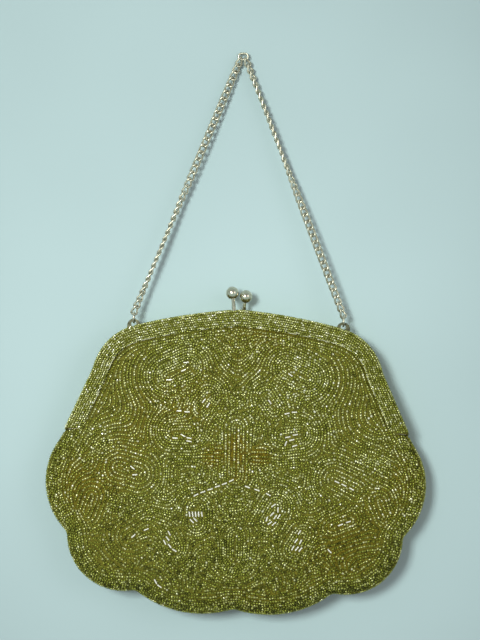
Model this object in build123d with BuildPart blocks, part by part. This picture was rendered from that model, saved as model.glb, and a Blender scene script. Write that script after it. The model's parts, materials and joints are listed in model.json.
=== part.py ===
"""Beaded evening bag on a kiss-lock frame with a curb-chain handle.

Millimetres, +Z up, X across the bag, front facing -Y.
The origin is the hanging point: the middle of the chain's top link, where a hook or pin passes.
The chain's length places the frame's top, and heights on the bag are drops below it or rises above
the middle of its bottom edge.
"""
from build123d import *
from math import asin, cos, pi, radians, sin, sqrt, tan
import os

os.makedirs("parts", exist_ok=True)

# --- bag outline: overall sizes, then its arcs: each end's distance in from the arms' half width,
# --- its drop from the top or rise from the bottom, and how far the arc bulges
arm_half_width = 101.0
middle_height = 171.6
top_end_in = 43.0
top_end_drop = 9.6
top_bulge = 1.35
shoulder_end_in = 18.4
shoulder_end_drop = 34.5
shoulder_bulge = 5.13
arm_end_drop = 75.0
side_lobe_bulge = 10.55
side_notch_in = 4.5
side_notch_rise = 42.6
low_lobe_bulge = 12.66
low_notch_in = 44.0
low_notch_rise = 10.1
bottom_lobe_bulge = 7.4

# --- panels, lining and piping -------------------------------------------------------------------
half_depth = 13.6
dome_drop = 103.0
dome_side_half = 2.6
edge_half = 1.5
edge_slope = 50.0
piping_width = 1.0
piping_half = 1.2
piping_gap = 0.1
panel_wall = 1.5
lining_gap = 0.3
lining_wall = 0.7
panel_tuck = 4.5
lining_margin = 0.4

# --- kiss-lock frame -----------------------------------------------------------------------------
lug_thickness = 1.0
parting_gap = 0.3
sheet_metal = 0.7
channel_width = 7.0
channel_clearance = 0.27
cover_wall = 1.2
cloth_gap = 0.1

# --- side hinges ---------------------------------------------------------------------------------
hinge_drop = 71.0
opening_angle = 30.0
opening_spare = 1.0
wedge_gap = 0.3
tab_radius = 2.0
tab_thickness = 1.0
tab_gap = 0.3
tab_reach = 4.5
tab_clearance = 0.3
tab_inset = 0.33
rivet_radius = 0.9
rivet_clearance = 0.1
rivet_head_radius = 1.6
rivet_head = 0.7

# --- kiss lock -----------------------------------------------------------------------------------
ball_radius = 3.7
ball_gap = 0.4
ball_lean = 0.8
front_ball_rise = 10.3
back_ball_rise = 8.4
post_foot_x = 2.6
post_foot_radius = 1.9
post_foot_height = 0.9
post_radius_low = 1.3
post_radius_high = 0.9
post_clearance = 0.15

# --- chain lugs and end rings --------------------------------------------------------------------
lug_out = 2.5
lug_rise = 4.1
lug_width = 7.6
lug_length = 12.0
lug_rim = 1.5
lug_hole_radius = 1.5
ring_inner_radius = 2.5
ring_wire_radius = 0.5
ring_pull = 1.5

# --- curb chain ----------------------------------------------------------------------------------
links_per_leg = 38
link_pitch = 4.2
link_wire_radius = 0.6
link_play = 0.1
link_width = 4.8
link_end_rise = 1.4
link_end_width = 2.6
link_bend = 1.1
link_half_twist = 45.0
leg_sway = 50.0

# --- slip pocket ---------------------------------------------------------------------------------
pocket_width = 92.0
pocket_below_hinge = 13.0
pocket_above_bottom = 29.6
pocket_wall = 0.7
pocket_gap = 0.25
pocket_corner = 8.0

# --- chain geometry: the legs and the drop that they give ----------------------------------------
lug_x = arm_half_width - top_end_in + lug_out
lug_top_drop = top_end_drop - lug_rise
link_half_length = link_pitch / 2 + link_wire_radius + link_play / 2
link_corner_height = link_half_length - link_end_rise
link_half_width = link_width / 2 - link_wire_radius
leg_length = (links_per_leg - 1) * link_pitch + 2 * link_half_length
wire_step = 2 * link_wire_radius + link_play
ring_step = ring_wire_radius + link_wire_radius + link_play
apex_arc_x = link_half_length - link_half_width
apex_step = link_half_width - wire_step
leg_reach = leg_length - ring_step + apex_step
leg_lean = asin((lug_x - apex_arc_x) / leg_reach)
ring_top = -leg_reach * cos(leg_lean)
ring_radius = ring_inner_radius + ring_wire_radius
pivot_z = ring_top - ring_radius - ring_pull
frame_top = pivot_z + lug_rim / 2 + lug_top_drop
hinge_z = frame_top - hinge_drop
dome_z = frame_top - dome_drop
bag_bottom = frame_top - middle_height

# --- outline points, and the arms' slope, which the hinges follow ------------------------------------
top_end = (arm_half_width - top_end_in, frame_top - top_end_drop)
shoulder_end = (arm_half_width - shoulder_end_in, frame_top - shoulder_end_drop)
arm_end = (arm_half_width, frame_top - arm_end_drop)
side_notch = (arm_half_width - side_notch_in, bag_bottom + side_notch_rise)
low_notch = (arm_half_width - low_notch_in, bag_bottom + low_notch_rise)
arm_slope = shoulder_end_in / (arm_end_drop - shoulder_end_drop)
hinge_edge_x = arm_half_width - arm_slope * (arm_end_drop - hinge_drop)

# --- dome of a panel, and the channel's depth that lets it tuck in -----------------------------------
dome_reach = arm_half_width + side_lobe_bulge - piping_width
dome_sag = half_depth - dome_side_half
dome_radius = (dome_reach ** 2 + dome_sag ** 2) / (2 * dome_sag)
channel_inset = cover_wall + cloth_gap
channel_end = channel_inset + channel_width
dome_at_channel = half_depth - dome_radius + sqrt(dome_radius ** 2 - (dome_drop - channel_end) ** 2)
channel_outer = dome_at_channel + channel_clearance + sheet_metal


def outline(inset):
    """The bag's outline, in its own plane, set in by a distance."""
    with BuildSketch() as shape:
        with BuildLine():
            SagittaArc((0, frame_top), top_end, top_bulge)
            SagittaArc(top_end, shoulder_end, shoulder_bulge)
            Line(shoulder_end, arm_end)
            SagittaArc(arm_end, side_notch, side_lobe_bulge)
            SagittaArc(side_notch, low_notch, low_lobe_bulge)
            SagittaArc(low_notch, (0, bag_bottom), bottom_lobe_bulge)
            mirror(about=Plane.YZ)
        make_face()
        if inset > 0:
            offset(amount=-inset, mode=Mode.REPLACE)
    return shape.sketch_local


def pillow(shrink):
    """One half of the bag's soft volume, from its middle plane to the front, shrunk evenly."""
    slope = 1 / tan(radians(edge_slope))
    edge = edge_half + shrink * slope - shrink * sqrt(1 + slope ** 2)
    with BuildPart() as half:
        with BuildSketch(Plane.XZ):
            add(outline(piping_width + piping_gap + shrink))
        extrude(amount=edge)
        with BuildSketch(Plane.XZ.offset(edge)):
            add(outline(piping_width + piping_gap + shrink))
        extrude(amount=half_depth, taper=edge_slope)
        with Locations((0, dome_radius - half_depth, dome_z)):
            Sphere(dome_radius - shrink, mode=Mode.INTERSECT)
    return half.part


def finish(piece, name):
    """Label a finished piece and write its file."""
    piece.part.label = name
    export_step(piece.part, "parts/" + name + ".step")
    print(name, "solids", len(piece.part.solids()), "volume", round(piece.part.volume, 2))


# --- planes that part the soft bag at the hinges, tilted so that the halves clear when it opens ---
half_wedge = radians((opening_angle + opening_spare) / 2)


def above_hinge(side):
    """Plane over which one half of the bag belongs to its frame; side is 1 in front, -1 behind."""
    return Plane(
        origin=(0, 0, hinge_z + wedge_gap / 2),
        x_dir=(1, 0, 0),
        z_dir=(0, side * sin(half_wedge), cos(half_wedge)),
    )


below_hinge = Plane(
    origin=(0, 0, hinge_z - wedge_gap / 2),
    x_dir=(1, 0, 0),
    z_dir=(0, sin(half_wedge), -cos(half_wedge)),
)


sides = {"front": 1, "back": -1}
inner_face = {"front": lug_thickness / 2 + parting_gap, "back": lug_thickness / 2}
lining_inset = channel_end + lining_margin
lining_shrink = panel_wall + lining_gap
cover_inner = channel_outer + cloth_gap
cover_outer = cover_inner + cover_wall

panel_outside = pillow(0)
panel_inside = pillow(panel_wall)
lining_outside = pillow(lining_shrink)
lining_inside = pillow(lining_shrink + lining_wall)

# --- room round the hinge line, kept clear of everything but the tabs and rivets --------------------
with BuildPart() as hinge_room:
    with Locations((0, 0, hinge_z)):
        Cylinder(tab_radius + tab_clearance, 2 * arm_half_width, rotation=(0, 90, 0))

# --- frame channels: folded sheet metal, open towards the bag, with the hinge tabs -----------------
channel_edge_x = hinge_edge_x - channel_end * sqrt(1 + arm_slope ** 2)
inner_tab_x = channel_edge_x + tab_inset
outer_tab_x = inner_tab_x + tab_thickness + tab_gap
for name, side in sides.items():
    with BuildPart() as channel:
        with BuildSketch(Plane.XZ.offset(side * inner_face[name])):
            add(outline(channel_inset))
            add(outline(channel_end), mode=Mode.SUBTRACT)
        extrude(amount=side * (channel_outer - inner_face[name]))
        with BuildSketch(Plane.XZ.offset(side * (inner_face[name] + sheet_metal))):
            add(outline(channel_inset + sheet_metal))
        extrude(amount=side * (channel_outer - inner_face[name] - 2 * sheet_metal), mode=Mode.SUBTRACT)
        split(bisect_by=above_hinge(side), keep=Keep.TOP)
        add(hinge_room.part, mode=Mode.SUBTRACT)
        tab_x = outer_tab_x if name == "front" else inner_tab_x
        for across in (-1, 1):
            with BuildSketch(Plane.YZ.offset(across * tab_x)):
                with Locations((0, hinge_z)):
                    Circle(tab_radius)
                with Locations((-side * (inner_face[name] + tab_radius) / 2, hinge_z)):
                    Rectangle(tab_radius - inner_face[name], tab_reach, align=(Align.CENTER, Align.MIN))
                with Locations((0, hinge_z)):
                    Circle(rivet_radius + rivet_clearance, mode=Mode.SUBTRACT)
            extrude(amount=across * tab_thickness)
    finish(channel, name + "_frame_channel")

# --- frame covers: beaded cloth bands over the channels, with a hole for the lock's post -----------
post_y = (inner_face["back"] + channel_outer) / 2
for name, side in sides.items():
    with BuildPart() as cover:
        with BuildSketch(Plane.XZ.offset(side * inner_face[name])):
            add(outline(0))
            add(outline(channel_end), mode=Mode.SUBTRACT)
        extrude(amount=side * (cover_outer - inner_face[name]))
        with BuildSketch(Plane.XZ.offset(side * inner_face[name])):
            add(outline(cover_wall))
        extrude(amount=side * (cover_inner - inner_face[name]), mode=Mode.SUBTRACT)
        split(bisect_by=above_hinge(side), keep=Keep.TOP)
        with Locations((-side * post_foot_x, -side * post_y, frame_top)):
            Cylinder(
                radius=post_foot_radius + post_clearance,
                height=4 * cover_wall,
                mode=Mode.SUBTRACT,
            )
    finish(cover, name + "_frame_cover")

# --- kiss lock: a ball on a leaning post for each frame --------------------------------------------
foot_z = frame_top - channel_inset
ball_x = ball_radius + ball_gap / 2
ball_rise = {"front": front_ball_rise, "back": back_ball_rise}
for name, side in sides.items():
    foot = Vector(-side * post_foot_x, -side * post_y, foot_z)
    ball = Vector(-side * ball_x, -side * ball_lean, frame_top + ball_rise[name])
    lean = ball - foot
    with BuildPart() as lock:
        with Locations(foot):
            Cylinder(post_foot_radius, post_foot_height, align=(Align.CENTER, Align.CENTER, Align.MIN))
        with Locations(Plane(origin=foot + Vector(0, 0, post_foot_height / 2), z_dir=lean)):
            Cone(
                post_radius_low,
                post_radius_high,
                lean.length - ball_radius / 2,
                align=(Align.CENTER, Align.CENTER, Align.MIN),
            )
        with Locations(Plane(origin=ball, z_dir=lean)):
            Sphere(ball_radius)
    finish(lock, name + "_lock_ball")

# --- side hinges: a rivet through both tabs of each arm --------------------------------------------
rivet_start = inner_tab_x - rivet_head
rivet_end = outer_tab_x + tab_thickness + rivet_clearance + rivet_head
for name, across in (("left", -1), ("right", 1)):
    with BuildPart() as rivet:
        with BuildSketch(Plane.YZ.offset(across * rivet_start)):
            with Locations((0, hinge_z)):
                Circle(rivet_radius)
        extrude(amount=across * (rivet_end - rivet_start))
        for start in (rivet_start, rivet_end - rivet_head):
            with BuildSketch(Plane.YZ.offset(across * start)):
                with Locations((0, hinge_z)):
                    Circle(rivet_head_radius)
            extrude(amount=across * rivet_head)
    finish(rivet, name + "_hinge_rivet")

# --- chain lugs: flat eyes soldered to the inside of the back channel ------------------------------
lug_top = frame_top - lug_top_drop
for name, across in (("left", -1), ("right", 1)):
    with BuildPart() as lug:
        with BuildSketch(Plane.XZ.offset(-lug_thickness / 2)):
            with Locations((across * lug_x, lug_top - lug_width / 2)):
                Circle(lug_width / 2)
                Rectangle(lug_width, lug_length - lug_width / 2, align=(Align.CENTER, Align.MAX))
            with Locations((across * lug_x, lug_top - lug_rim - lug_hole_radius)):
                Circle(lug_hole_radius, mode=Mode.SUBTRACT)
        extrude(amount=lug_thickness)
    finish(lug, name + "_chain_lug")

# --- end rings: the handle swings on them in the lugs ----------------------------------------------
for name, across in (("left", -1), ("right", 1)):
    with BuildPart() as ring:
        with Locations((across * lug_x, 0, pivot_z + ring_pull)):
            Torus(ring_radius, ring_wire_radius, rotation=(0, 90, 0))
    finish(ring, name + "_end_ring")

# --- one curb link: half of it swept, then turned half round for the other half ---------------------
corner_twist = radians(link_half_twist * link_corner_height / link_half_length)
end_twist = radians(link_half_twist)
side_x = link_half_width * cos(corner_twist)
side_y = link_half_width * sin(corner_twist)
end_x = link_end_width / 2 * cos(end_twist)
end_y = link_end_width / 2 * sin(end_twist)
with BuildPart() as half_link:
    with BuildLine() as half_route:
        FilletPolyline(
            (side_x, 0, 0),
            (side_x, side_y, link_corner_height),
            (end_x, end_y, link_half_length),
            (-end_x, -end_y, link_half_length),
            (-side_x, -side_y, link_corner_height),
            (-side_x, 0, 0),
            radius=link_bend,
        )
    with BuildSketch(Plane(origin=half_route.line @ 0, z_dir=half_route.line % 0)):
        Circle(link_wire_radius)
    sweep()
with BuildPart() as link:
    add(half_link.part)
    add(half_link.part, rotation=(180, 0, 0))

# --- apex link: the flat link at the hanging point, which a hook or pin passes through ---------------
with BuildPart() as apex_link:
    with BuildLine() as apex_route:
        Line((0, 0, link_half_width), (apex_arc_x, 0, link_half_width))
        ThreePointArc(
            (apex_arc_x, 0, link_half_width),
            (link_half_length, 0, 0),
            (apex_arc_x, 0, -link_half_width),
        )
        Line((apex_arc_x, 0, -link_half_width), (0, 0, -link_half_width))
    with BuildSketch(Plane(origin=apex_route.line @ 0, z_dir=apex_route.line % 0)):
        Circle(link_wire_radius)
    sweep()
    mirror(about=Plane.YZ)
finish(apex_link, "apex_link")

# --- chain legs: one link after another from each end ring up to the apex link -----------------------
leg_sides = {"left": -1, "right": 1}
for name, across in leg_sides.items():
    upward = Vector(-across * sin(leg_lean), 0, cos(leg_lean))
    sideways = Vector(cos(leg_lean), 0, across * sin(leg_lean))
    first = Vector(across * lug_x, 0, ring_top) + upward * (link_half_length - ring_step)
    places = []
    for number in range(links_per_leg):
        share = number / (links_per_leg - 1)
        turn = radians(link_half_twist - across * leg_sway * sin(2 * pi * share))
        width_way = sideways * cos(turn) + Vector(0, sin(turn), 0)
        places.append(Plane(origin=first + upward * number * link_pitch, x_dir=width_way, z_dir=upward))
    with BuildPart() as chain:
        with Locations(*places):
            add(link.part)
    finish(chain, "chain_" + name)

# --- outer panels: padded beadwork, tucked into the frames above the hinges, free below -------------
for name, side in sides.items():
    with BuildPart() as upper_panel:
        add(panel_outside)
        add(panel_inside, mode=Mode.SUBTRACT)
        with BuildSketch(Plane.XZ):
            add(outline(channel_inset + sheet_metal + panel_tuck))
        extrude(amount=half_depth, mode=Mode.INTERSECT)
        split(bisect_by=above_hinge(1), keep=Keep.TOP)
        if side < 0:
            mirror(about=Plane.XZ, mode=Mode.REPLACE)
    finish(upper_panel, name + "_panel_upper")
    with BuildPart() as lower_panel:
        add(panel_outside)
        add(panel_inside, mode=Mode.SUBTRACT)
        split(bisect_by=below_hinge, keep=Keep.TOP)
        if side < 0:
            mirror(about=Plane.XZ, mode=Mode.REPLACE)
    finish(lower_panel, name + "_panel_lower")

# --- lining: a plain dish behind each panel, sewn just inside the frame channel ----------------------
with BuildPart() as lining_hollow:
    with BuildSketch(Plane.XZ):
        add(outline(lining_inset + lining_wall))
    extrude(amount=half_depth)
    add(lining_inside, mode=Mode.INTERSECT)

for name, side in sides.items():
    with BuildPart() as upper_lining:
        with BuildSketch(Plane.XZ.offset(inner_face[name])):
            add(outline(lining_inset))
        extrude(amount=half_depth)
        add(lining_outside, mode=Mode.INTERSECT)
        add(lining_hollow.part, mode=Mode.SUBTRACT)
        split(bisect_by=above_hinge(1), keep=Keep.TOP)
        add(hinge_room.part, mode=Mode.SUBTRACT)
        if side < 0:
            mirror(about=Plane.XZ, mode=Mode.REPLACE)
    finish(upper_lining, name + "_lining_upper")
    with BuildPart() as lower_lining:
        with BuildSketch(Plane.XZ):
            add(outline(lining_inset))
        extrude(amount=half_depth)
        add(lining_outside, mode=Mode.INTERSECT)
        add(lining_hollow.part, mode=Mode.SUBTRACT)
        split(bisect_by=below_hinge, keep=Keep.TOP)
        add(hinge_room.part, mode=Mode.SUBTRACT)
        if side < 0:
            mirror(about=Plane.XZ, mode=Mode.REPLACE)
    finish(lower_lining, name + "_lining_lower")

# --- edge piping: the sewn rim that closes the pouch below the hinges --------------------------------
piping_top = hinge_z - wedge_gap - piping_half * sin(half_wedge)
with BuildPart() as edge_piping:
    with BuildSketch(Plane.XZ.offset(-piping_half)):
        add(outline(0))
        add(outline(piping_width), mode=Mode.SUBTRACT)
    extrude(amount=2 * piping_half)
    split(bisect_by=Plane(origin=(0, 0, piping_top), z_dir=(0, 0, -1)), keep=Keep.TOP)
finish(edge_piping, "edge_piping")

# --- slip pocket: a cloth patch held against the back lining ------------------------------------------
pocket_top = hinge_z - pocket_below_hinge
pocket_height = pocket_top - (bag_bottom + pocket_above_bottom)
pocket_outside = dome_radius - lining_shrink - lining_wall - pocket_gap
with BuildPart() as slip_pocket:
    with BuildSketch(Plane.XZ):
        with Locations((0, pocket_top - pocket_height / 2)):
            RectangleRounded(pocket_width, pocket_height, pocket_corner)
    extrude(amount=-half_depth)
    with Locations((0, half_depth - dome_radius, dome_z)):
        Sphere(pocket_outside, mode=Mode.INTERSECT)
        Sphere(pocket_outside - pocket_wall, mode=Mode.SUBTRACT)
finish(slip_pocket, "slip_pocket")

print("frame top", round(frame_top, 2), "hinge", round(hinge_z, 2), "pivot", round(pivot_z, 2))
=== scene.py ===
"""Looks of a beaded evening bag: padded beaded panels, beaded bands, satin lining and gilt metal.

Metres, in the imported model's frame: +Z up, X across the bag, front facing -Y.
Places in the beadwork are (x, z) with z measured from the top of the frame.
"""

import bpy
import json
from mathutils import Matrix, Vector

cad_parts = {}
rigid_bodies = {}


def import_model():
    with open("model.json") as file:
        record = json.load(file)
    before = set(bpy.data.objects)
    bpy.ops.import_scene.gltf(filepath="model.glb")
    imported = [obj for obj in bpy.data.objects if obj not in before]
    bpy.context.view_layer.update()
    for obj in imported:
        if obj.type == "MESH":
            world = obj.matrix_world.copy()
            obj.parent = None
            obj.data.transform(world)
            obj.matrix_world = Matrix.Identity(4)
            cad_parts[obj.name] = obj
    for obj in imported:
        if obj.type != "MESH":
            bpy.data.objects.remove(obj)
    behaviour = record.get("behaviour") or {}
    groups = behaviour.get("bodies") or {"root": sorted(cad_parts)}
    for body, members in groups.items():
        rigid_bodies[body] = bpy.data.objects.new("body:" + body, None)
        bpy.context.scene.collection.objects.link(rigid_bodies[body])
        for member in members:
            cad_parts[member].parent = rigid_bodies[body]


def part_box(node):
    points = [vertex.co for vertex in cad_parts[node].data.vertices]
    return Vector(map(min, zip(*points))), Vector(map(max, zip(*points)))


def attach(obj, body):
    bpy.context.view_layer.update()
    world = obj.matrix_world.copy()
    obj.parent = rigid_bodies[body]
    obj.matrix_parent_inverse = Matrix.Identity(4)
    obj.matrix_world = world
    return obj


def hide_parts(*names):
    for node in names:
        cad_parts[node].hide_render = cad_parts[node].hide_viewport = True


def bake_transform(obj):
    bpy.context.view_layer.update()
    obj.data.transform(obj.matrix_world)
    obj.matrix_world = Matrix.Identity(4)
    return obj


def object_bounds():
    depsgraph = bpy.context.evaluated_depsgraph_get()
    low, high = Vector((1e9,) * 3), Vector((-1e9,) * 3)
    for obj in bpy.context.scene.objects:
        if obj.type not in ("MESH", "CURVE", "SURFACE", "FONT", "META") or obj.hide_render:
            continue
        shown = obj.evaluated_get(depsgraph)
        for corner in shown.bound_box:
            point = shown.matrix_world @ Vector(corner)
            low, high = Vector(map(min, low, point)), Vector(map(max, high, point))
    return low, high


bl_info = {
    "name": "Beaded evening bag",
    "version": (1, 0, 0),
    "blender": (4, 5, 0),
    "location": "3D View > Sidebar > Bag",
    "description": "Makes the beadwork, cloth, lining, metal finishes and studio of an evening bag",
    "category": "Add Mesh",
}

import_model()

import json
import math
import random
from contextlib import contextmanager

import bpy
import numpy as np
from mathutils import Matrix, Vector
from mathutils.bvhtree import BVHTree

MM = 0.001
LINE_STEP = 0.5 * MM  # between the points of the outline
MIDDLE = 30 * MM  # half width of the middle third of a panel's beads
CAD_LOW, CAD_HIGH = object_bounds()
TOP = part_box("front_frame_cover")[1].z
HINGE = sum(v.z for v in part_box("left_hinge_rivet")) / 2

# Fans of long glass tubes in the beadwork: (x, z, angle), in millimetres and degrees.
TUBES = (
    (-31, -34.5, 23), (-29.5, -30, 8), (-39, -40, 7), (30, -36, -32),
    (-33, -57.5, 2), (-28.4, -58, 0), (28.4, -58, 12), (32.6, -57.2, 4),
    (-16.5, -54, 58), (-19, -51.5, 52), (18.5, -51.5, -55),
    (-35, -73, -6), (-30.5, -71.4, -30), (-27, -72.8, -9), (-27, -74.6, -10),
    (33.3, -70, 10), (29, -71.4, 9), (31.3, -73, 12), (28, -75, 68), (33, -76.3, 18),
    (-59, -90.4, -38), (-57.5, -94.4, 2), (57.5, -96.5, -24), (61.5, -98.3, -24), (66, -100.5, -26),
    (-22.5, -105, 27), (-18.6, -103.2, 20), (-14.5, -101.6, 18), (-10.4, -99.9, 19),
    (-6.5, -98.3, 22), (-2.5, -96.4, 28),
    (6.6, -99.9, -20), (12, -101.5, -18), (18.5, -104, -27),
    (-26, -115.9, -81), (-24.2, -115.9, -81), (-22.5, -115.9, -82), (-20.8, -115.8, -84),
    (-19, -115.8, -78), (-24.6, -119.9, -43), (-22.7, -119, -45),
    (21.6, -110.2, 34), (24.2, -112.6, 88), (20.9, -115.2, 46), (18, -117.9, 75),
    (22.7, -116.8, 55), (24.8, -116.4, 58), (19.7, -120.2, 38), (22.1, -120.6, 41),
    (-37.4, -127.1, -59), (-38.2, -130.2, -54), (-39.9, -132.4, -63), (-37, -134.4, -51),
    (-34.3, -136.9, -31), (36.6, -125.4, 57), (34.9, -130.2, 54), (37.4, -130.8, 63),
    (33.1, -134.3, 61), (35.4, -134.7, 52), (37.4, -135.2, 52),
    (-50.5, -125.4, 26), (-57.8, -129.3, 43), (60, -121, 22), (64.5, -119.3, 18),
    (54, -136, -45), (-44.8, -155.4, -60), (-42.6, -158, -34),
)

# Spots where the beads lie every way: (x, z, half width, half height).
LOOSE_SPOTS = (
    (0, -16, 34, 9), (-33, -46, 10, 6), (33, -46, 10, 6), (-14, -92, 12, 8), (15, -91, 12, 7),
    (-83, -78, 14, 13), (82, -80, 12, 12), (0, -112, 12, 9), (-10, -58, 8, 8), (12, -60, 8, 8),
    (-20, -148, 26, 9), (26, -147, 26, 9), (0, -50, 7, 9), (-62, -112, 14, 8),
)

# The bands' lower ends slope, so that they clear the pouch as the frame opens.
END_SLOPE = math.tan(math.radians(15.5))

# Cores that the bead rows run round: (x, z, half length, angle).
CORES = (
    (-34, -35, 7, 25), (34, -35, 7, -25), (-18.5, -52, 4, 55), (18.5, -52, 4, -55),
    (-31, -69, 5, 0), (31, -70, 5, 8), (0, -80, 14, 90),
    (-61, -92, 6, -15), (62, -98, 7, -25), (-22, -117, 4, 90), (21, -115, 5, 60),
    (-38, -131, 5, -58), (36, -131, 5, 58), (-55, -127, 6, 32), (61, -120, 6, 20),
    (-44, -156, 3, -45), (44, -156, 3, 45), (0, -134, 6, 90),
    (-84, -112, 5, 70), (84, -112, 5, -70),
)

# Beads by tone: (share of beads up to here, least tone, most tone). The rest are olive. The light
# tones are painted glints and the dark ones painted shade.
TONES = ((0.34, 0.55, 0.82), (0.36, 0.88, 1.0), (0.46, 0.1, 0.28))
OLIVE_TONE, OLIVE_SPREAD = 0.41, 0.09


# --- sizes and colours that a user would change ---
def length(name, text, value):
    """A length property, in metres, from a value in millimetres."""
    return bpy.props.FloatProperty(
        name=name, description=text, default=value * MM, unit="LENGTH", precision=5
    )


def colour(name, text, value):
    """A colour property."""
    return bpy.props.FloatVectorProperty(
        name=name, description=text, default=value, size=3, subtype="COLOR", min=0, max=1
    )


class BAG_PG_outline(bpy.types.PropertyGroup):
    """Outline of the bag: ends of its arcs, measured in from the arms, down from the top or up from
    the middle of the bottom edge, and how far each arc bulges."""

    arm_half_width: length("Arm half width", "Half the width at the ends of the arms", 101.0)
    middle_height: length("Height", "Top of the frame to the middle of the bottom edge", 171.6)
    top_end_in: length("Top end in", "End of the top arc, in from the arms", 43.0)
    top_end_drop: length("Top end drop", "End of the top arc, down from the top", 9.6)
    top_bulge: length("Top bulge", "Rise of the top arc over its chord", 1.35)
    shoulder_end_in: length("Shoulder end in", "End of the shoulder, in from the arms", 18.4)
    shoulder_end_drop: length("Shoulder end drop", "End of the shoulder, down from the top", 34.5)
    shoulder_bulge: length("Shoulder bulge", "Rise of the shoulder over its chord", 5.13)
    arm_end_drop: length("Arm end drop", "End of the straight arm, down from the top", 75.0)
    side_lobe_bulge: length("Side lobe bulge", "Rise of the side lobe over its chord", 10.55)
    side_notch_in: length("Side notch in", "Notch under the side lobe, inwards", 4.5)
    side_notch_rise: length("Side notch rise", "Notch under the side lobe, upwards", 42.6)
    low_lobe_bulge: length("Low lobe bulge", "Rise of the low lobe over its chord", 12.66)
    low_notch_in: length("Low notch in", "Notch beside the bottom lobe, inwards", 44.0)
    low_notch_rise: length("Low notch rise", "Notch beside the bottom lobe, upwards", 10.1)
    bottom_lobe_bulge: length("Bottom lobe bulge", "Rise of the bottom lobe over its chord", 7.4)
    notch_softness: length("Notch softness", "How far the cloth rounds the notches", 2.2)


class BAG_PG_cloth(bpy.types.PropertyGroup):
    """Padded panels, frame bands, lining and pocket."""

    half_depth: length("Half depth", "Half the bag's depth at its middle", 13.6)
    dome_radius: length("Dome radius", "Radius of a panel's gentle dome", 539.6)
    dome_drop: length("Dome drop", "Middle of the dome, down from the top", 103.0)
    edge_half: length("Edge half", "Half the depth where the panels meet the piping", 1.5)
    edge_slope: bpy.props.FloatProperty(
        name="Edge slope", description="Slope of a panel at its sewn edge",
        default=math.radians(50), subtype="ANGLE",
    )
    grid: length("Cloth grid", "Size of the cloth's squares before it is smoothed", 3.2)
    puff: length("Puff", "The most that stuffing lifts the cloth", 1.8)
    wall: length("Panel wall", "Thickness of a padded panel", 1.1)
    band_width: length("Band width", "Width of the beaded band over the frame", 8.3)
    band_wall: length("Band wall", "Thickness of the band's cloth", 1.2)
    band_face: length("Band face", "Middle plane to the front of the band", 7.5)
    front_parting: length("Front parting", "Middle plane to the front band", 0.8)
    back_parting: length("Back parting", "Middle plane to the back band", 0.5)
    lining_wall: length("Lining wall", "Thickness of the satin lining", 0.5)


class BAG_PG_beads(bpy.types.PropertyGroup):
    """Seed beads, glass tubes and stitches."""

    row_pitch: length("Row pitch", "Least distance between bead rows", 1.5)
    bead_pitch: length("Bead pitch", "Distance between beads in a row", 1.5)
    bead_length: length("Bead length", "Length of a seed bead along its thread", 1.35)
    bead_radius: length("Bead radius", "Radius of a seed bead", 0.66)
    band_pitch: length("Band row pitch", "Distance between bead rows on the frame band", 1.28)
    band_scale: bpy.props.FloatProperty(
        name="Band bead scale", description="Size of the band's beads to the panels' beads",
        default=0.86,
    )
    tube_length: length("Tube length", "Length of a long glass tube", 2.9)
    tube_radius: length("Tube radius", "Radius of a long glass tube", 0.47)
    border_width: length("Border width", "Width of the rows that follow the edge", 11.0)
    seed: bpy.props.IntProperty(name="Seed", description="Seed of the unevenness", default=7)


class BAG_PG_colours(bpy.types.PropertyGroup):
    """Colours of glass, cloth and metal."""

    # The dark glass is painted shade, and the gold and pale glass painted glints, in the beads'
    # colour.
    glass_painted_shade: colour("Dark glass", "Seed beads that catch no light", (0.052, 0.056, 0.007))
    glass_olive: colour("Olive glass", "Most seed beads", (0.235, 0.255, 0.036))
    glass_gold: colour("Gold glass", "Silver-lined seed beads", (0.48, 0.49, 0.21))
    glass_painted_glint: colour("Pale glass", "Seed beads that shine nearly white", (0.86, 0.87, 0.66))
    tube: colour("Tube glass", "Silver-lined glass tubes", (0.84, 0.86, 0.74))
    cloth: colour("Ground cloth", "Gold-olive cloth under the beads", (0.118, 0.120, 0.014))
    thread: colour("Thread", "Pale sewing thread", (0.58, 0.60, 0.38))
    amber: colour("Amber cloth", "Ground cloth of the middle flower", (0.122, 0.096, 0.003))
    satin: colour("Satin", "Lining satin", (0.42, 0.33, 0.13))
    gilt: colour("Gilt", "Pale gilt of chain and lock", (0.60, 0.555, 0.43))
    frame_gilt: colour("Frame gilt", "Dull gilt of the frame inside the bag", (0.36, 0.32, 0.20))
    old_gilt: colour("Old gilt", "Darkened gilt of frame and lugs", (0.115, 0.115, 0.070))
    wall: colour("Wall", "Pale wall behind the bag", (0.487, 0.655, 0.666))


# --- outline, panel form ---
def unit(way):
    """The same way, one metre long."""
    return way / np.linalg.norm(way)


def arc(a, b, bulge):
    """Points from a up to b on an arc that bulges to the left of the way from a to b."""
    a, b = np.array(a), np.array(b)
    chord = b - a
    span = np.hypot(*chord)
    if bulge == 0:
        n = max(2, int(span / LINE_STEP))
        return [a + chord * k / n for k in range(n)]
    left = np.array([-chord[1], chord[0]]) / span
    radius = (span ** 2 / 4 + bulge ** 2) / (2 * bulge)
    centre = (a + b) / 2 + left * (bulge - radius)
    start = math.atan2(*(a - centre)[::-1])
    turn = 2 * math.asin(min(1, span / 2 / radius))
    n = max(4, int(radius * turn / LINE_STEP))
    turns = [start - turn * k / n for k in range(n)]
    return [centre + radius * np.array([math.cos(t), math.sin(t)]) for t in turns]


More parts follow.
